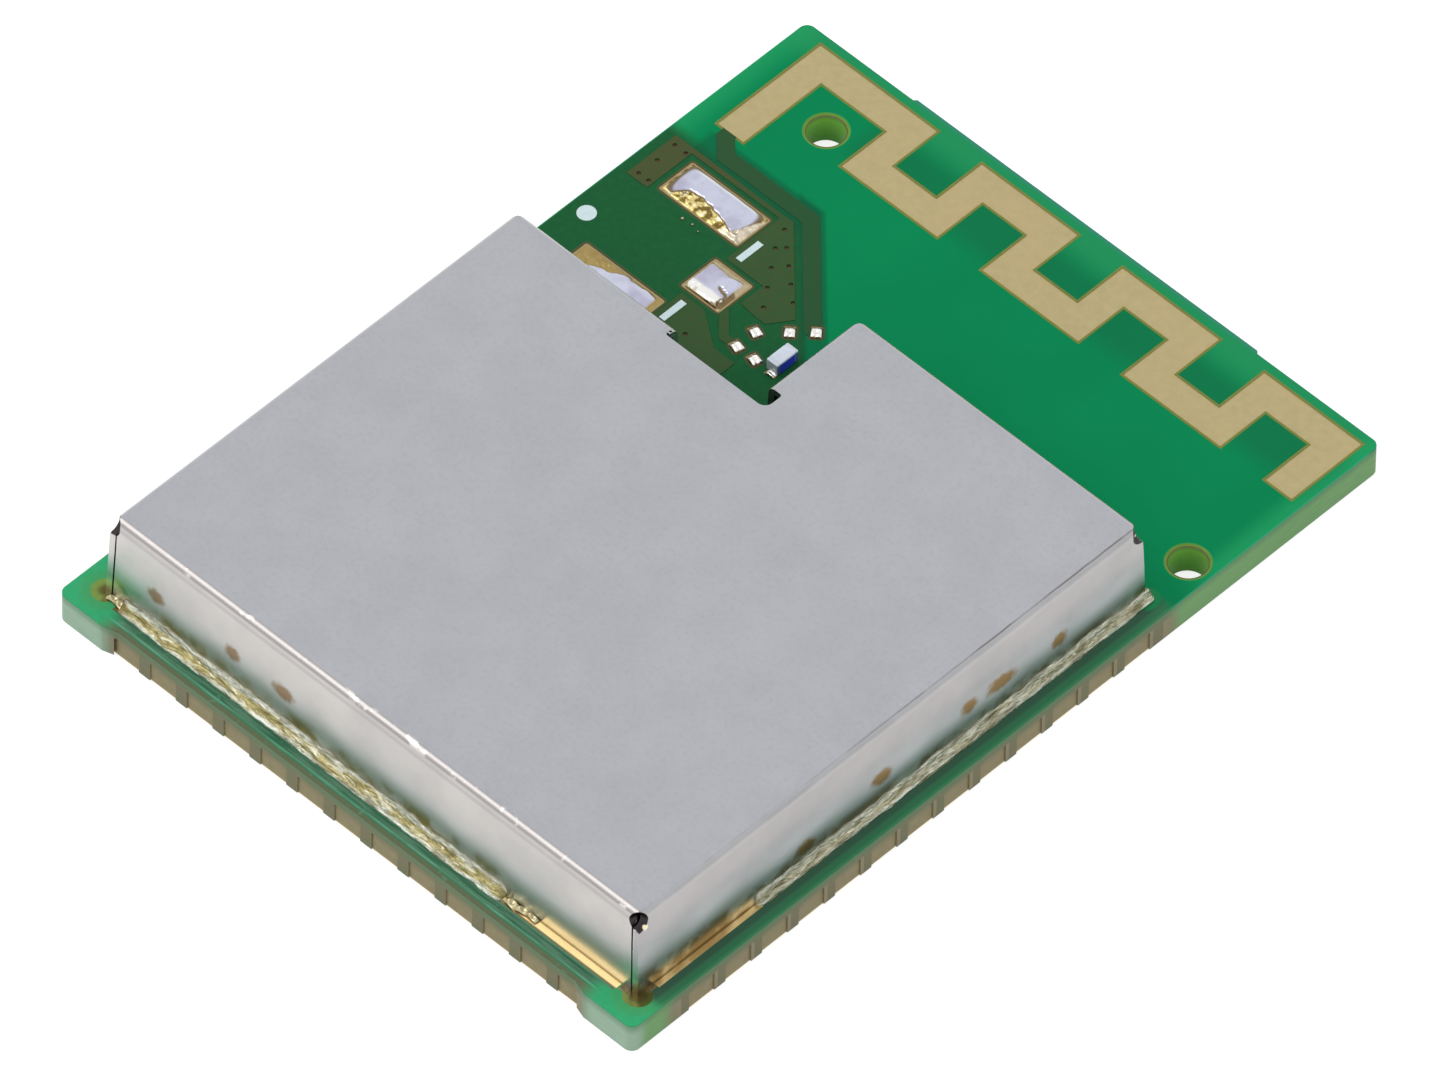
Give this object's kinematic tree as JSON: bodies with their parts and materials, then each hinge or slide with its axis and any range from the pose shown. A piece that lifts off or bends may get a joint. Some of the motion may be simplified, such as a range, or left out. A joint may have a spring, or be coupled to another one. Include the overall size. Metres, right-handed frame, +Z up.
{
  "type": "short-range radio module",
  "caption": "Surface-mount radio module: green board with a meander antenna, edge contacts on three sides and an L-shaped folded metal shield.",
  "frame": {"origin": "middle of the board's outline on its solder side", "axes": "+X across the board, +Y along the board towards the antenna, +Z up from the solder side through the shield"},
  "size_m": [0.0154, 0.0208, 0.0029],
  "materials": {
    "laminate": "glass-fibre laminate, pale green at the cut edge, green coat underneath",
    "solder_mask": "glossy green solder mask",
    "coated_copper": "green mask over copper, olive",
    "antenna_copper": "matte tan plated copper",
    "gold_plate": "thin gold plate",
    "contact_plate": "dull gold plate",
    "shield_sheet": "matt tin-plated sheet",
    "solder": "bright, lumpy solder",
    "print": "white ink",
    "part_ceramic": "white top, blue side",
    "part_ends": "tinned ends",
    "chip_mould": "black moulding compound",
    "capacitor_ceramic": "tan ceramic",
    "resistor_ceramic": "dark coated ceramic",
    "coil_ceramic": "pale ceramic",
    "crystal_ceramic": "tan ceramic base",
    "crystal_metal": "satin metal lid"
  },
  "bodies": {
    "root": {"circuit_board": "laminate", "mask_top": "solder_mask", "antenna": "antenna_copper", "feed_line": "coated_copper", "signal_line": "coated_copper", "ground_copper": "coated_copper", "contacts_front": "contact_plate", "contacts_left": "contact_plate", "contacts_right": "contact_plate", "socket_land_upper": "gold_plate", "socket_land_lower": "gold_plate", "socket_land_middle": "gold_plate", "socket_tin_upper": "solder", "socket_tin_lower": "solder", "socket_tin_middle": "solder", "matching_lands": "gold_plate", "matching_solder": "solder", "matching_part": "part_ceramic", "matching_part_ends": "part_ends", "printed_dot": "print", "printed_dashes": "print", "shield_lands": "gold_plate", "shield": "shield_sheet", "solder_front": "solder", "solder_right": "solder", "solder_left": "solder", "solder_back": "solder", "solder_notch_side": "solder", "solder_notch_ledge": "solder", "radio_chip": "chip_mould", "radio_chip_leads": "part_ends", "radio_chip_pad": "part_ends", "crystal_base": "crystal_ceramic", "crystal_lid": "crystal_metal", "power_inductor": "chip_mould", "power_inductor_ends": "part_ends", "capacitor_bodies": "capacitor_ceramic", "capacitor_ends": "part_ends", "resistor_bodies": "resistor_ceramic", "resistor_ends": "part_ends", "filter_coil_bodies": "coil_ceramic", "filter_coil_ends": "part_ends"}
  },
  "joints": []
}
